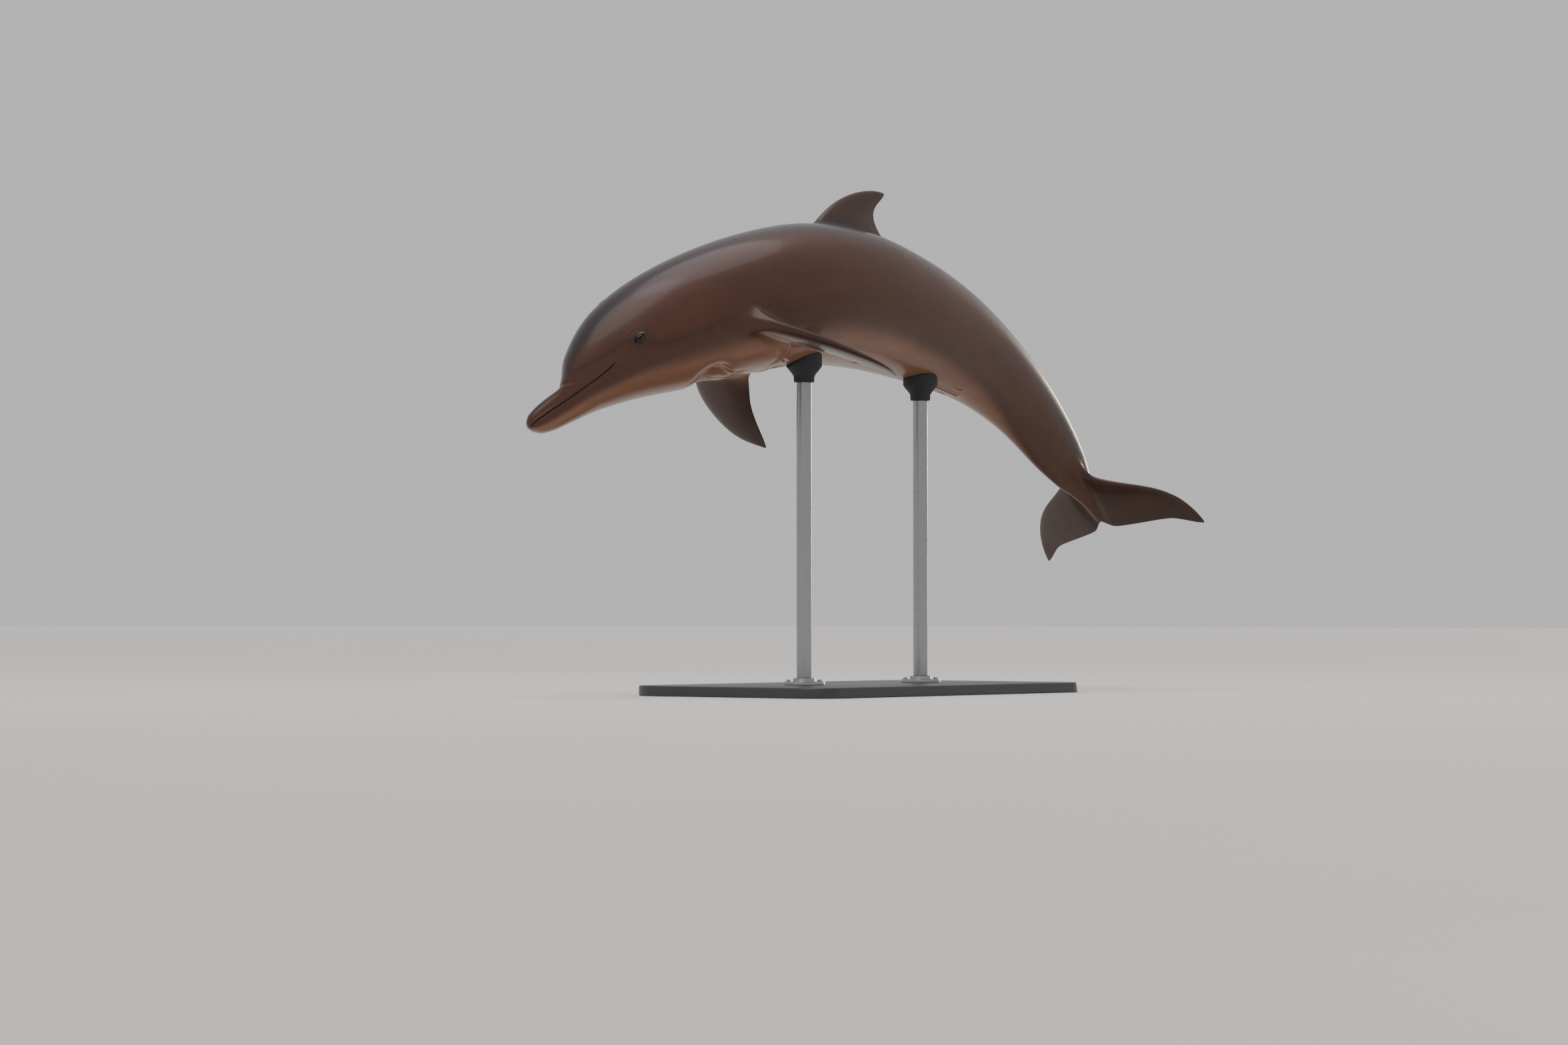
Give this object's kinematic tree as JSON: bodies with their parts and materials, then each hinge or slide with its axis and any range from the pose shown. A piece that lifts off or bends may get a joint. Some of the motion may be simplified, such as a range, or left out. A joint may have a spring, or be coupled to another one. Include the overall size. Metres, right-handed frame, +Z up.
{
  "type": "bottlenose dolphin",
  "caption": "Life-size leaping bottlenose dolphin, back arched and flukes spread, held up by upright steel rods on a plain flat base.",
  "frame": {"origin": "on the floor under the middle of the whole piece, at the underside of the stand's base", "axes": "+Z up; the dolphin's trunk lies along X with the snout towards -X and the flukes towards +X; its left side faces -Y"},
  "size_m": [2.3018, 0.8352, 1.5175],
  "materials": {
    "dolphin_skin": "smooth wet skin, dark grey back, lighter flanks, pale belly",
    "fin_skin": "smooth wet skin, dark grey",
    "eye_dark": "glossy dark brown eye",
    "stand_paint": "satin dark grey paint over a solid board",
    "stand_steel": "brushed",
    "stand_pad": "matte black rubber"
  },
  "bodies": {
    "root": {"rostrum": "dolphin_skin", "lower_jaw": "dolphin_skin", "head": "dolphin_skin", "eye_left": "eye_dark", "eye_right": "eye_dark", "neck": "dolphin_skin", "chest": "dolphin_skin", "trunk_front": "dolphin_skin", "trunk_middle": "dolphin_skin", "trunk_rear": "dolphin_skin", "tail_stock_front": "dolphin_skin", "tail_stock_rear": "dolphin_skin", "fluke_root": "dolphin_skin", "dorsal_fin": "fin_skin", "flipper_left": "fin_skin", "flipper_right": "fin_skin", "fluke_left": "fin_skin", "fluke_right": "fin_skin", "stand_base": "stand_paint", "stand_foot_front": "stand_steel", "stand_foot_rear": "stand_steel", "stand_rod_front": "stand_steel", "stand_rod_rear": "stand_steel", "stand_cup_front": "stand_pad", "stand_cup_rear": "stand_pad"}
  },
  "joints": []
}
